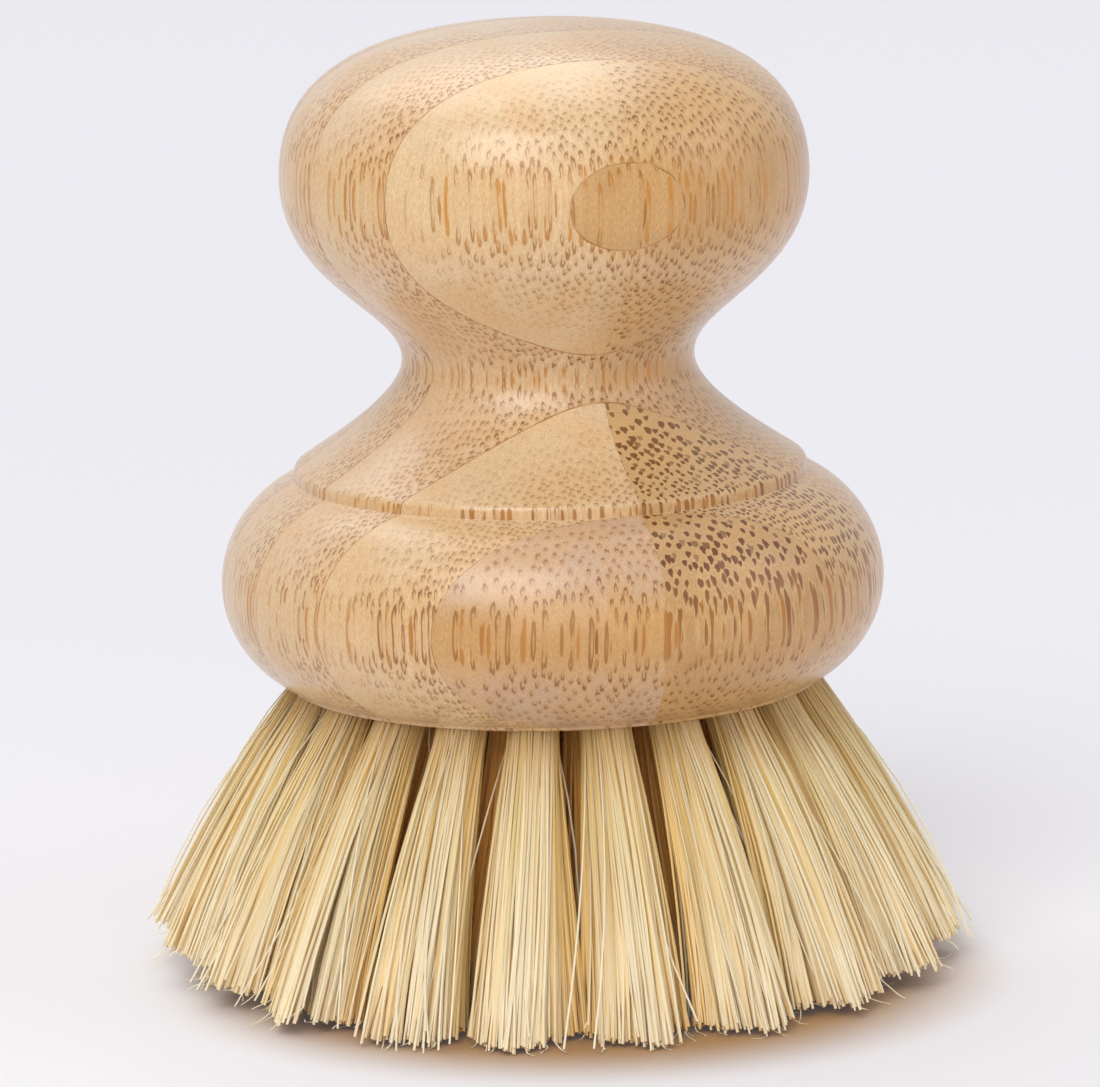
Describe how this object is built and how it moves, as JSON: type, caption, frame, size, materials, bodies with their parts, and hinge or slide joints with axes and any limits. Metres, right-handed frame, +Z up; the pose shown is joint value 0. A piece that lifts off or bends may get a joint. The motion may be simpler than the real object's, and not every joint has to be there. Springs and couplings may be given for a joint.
{
  "type": "pot brush",
  "caption": "Short turned bamboo hand brush with a round knob grip and a wide head of splayed plant-fibre tufts.",
  "frame": {"origin": "on the brush's turning axis, on the surface that the fibre tips stand on", "axes": "+Z up along the turning axis from the tips to the knob; -Y is the front, square to the boards' glue lines"},
  "size_m": [0.0732, 0.0733, 0.0854],
  "materials": {
    "bamboo_inner_boards": "sanded and oiled bamboo, satin",
    "bamboo_outer_boards": "sanded and oiled bamboo, satin, slightly pinker boards",
    "plant_fibre": "pale stiff plant fibre, satin strands"
  },
  "bodies": {
    "root": {"board_middle": "bamboo_inner_boards", "board_front_1": "bamboo_inner_boards", "board_back_1": "bamboo_inner_boards", "board_front_2_head": "bamboo_inner_boards", "board_back_2_head": "bamboo_inner_boards", "board_front_2_knob": "bamboo_outer_boards", "board_back_2_knob": "bamboo_outer_boards", "board_front_3_head": "bamboo_outer_boards", "board_back_3_head": "bamboo_outer_boards", "board_front_3_knob": "bamboo_outer_boards", "board_back_3_knob": "bamboo_outer_boards", "tuft_centre": "plant_fibre", "tuft_inner_01": "plant_fibre", "tuft_inner_02": "plant_fibre", "tuft_inner_03": "plant_fibre", "tuft_inner_04": "plant_fibre", "tuft_inner_05": "plant_fibre", "tuft_inner_06": "plant_fibre", "tuft_inner_07": "plant_fibre", "tuft_middle_01": "plant_fibre", "tuft_middle_02": "plant_fibre", "tuft_middle_03": "plant_fibre", "tuft_middle_04": "plant_fibre", "tuft_middle_05": "plant_fibre", "tuft_middle_06": "plant_fibre", "tuft_middle_07": "plant_fibre", "tuft_middle_08": "plant_fibre", "tuft_middle_09": "plant_fibre", "tuft_middle_10": "plant_fibre", "tuft_middle_11": "plant_fibre", "tuft_middle_12": "plant_fibre", "tuft_middle_13": "plant_fibre", "tuft_middle_14": "plant_fibre", "tuft_outer_01": "plant_fibre", "tuft_outer_02": "plant_fibre", "tuft_outer_03": "plant_fibre", "tuft_outer_04": "plant_fibre", "tuft_outer_05": "plant_fibre", "tuft_outer_06": "plant_fibre", "tuft_outer_07": "plant_fibre", "tuft_outer_08": "plant_fibre", "tuft_outer_09": "plant_fibre", "tuft_outer_10": "plant_fibre", "tuft_outer_11": "plant_fibre", "tuft_outer_12": "plant_fibre", "tuft_outer_13": "plant_fibre", "tuft_outer_14": "plant_fibre", "tuft_outer_15": "plant_fibre", "tuft_outer_16": "plant_fibre", "tuft_outer_17": "plant_fibre", "tuft_outer_18": "plant_fibre", "tuft_outer_19": "plant_fibre", "tuft_outer_20": "plant_fibre", "tuft_outer_21": "plant_fibre"}
  },
  "joints": []
}
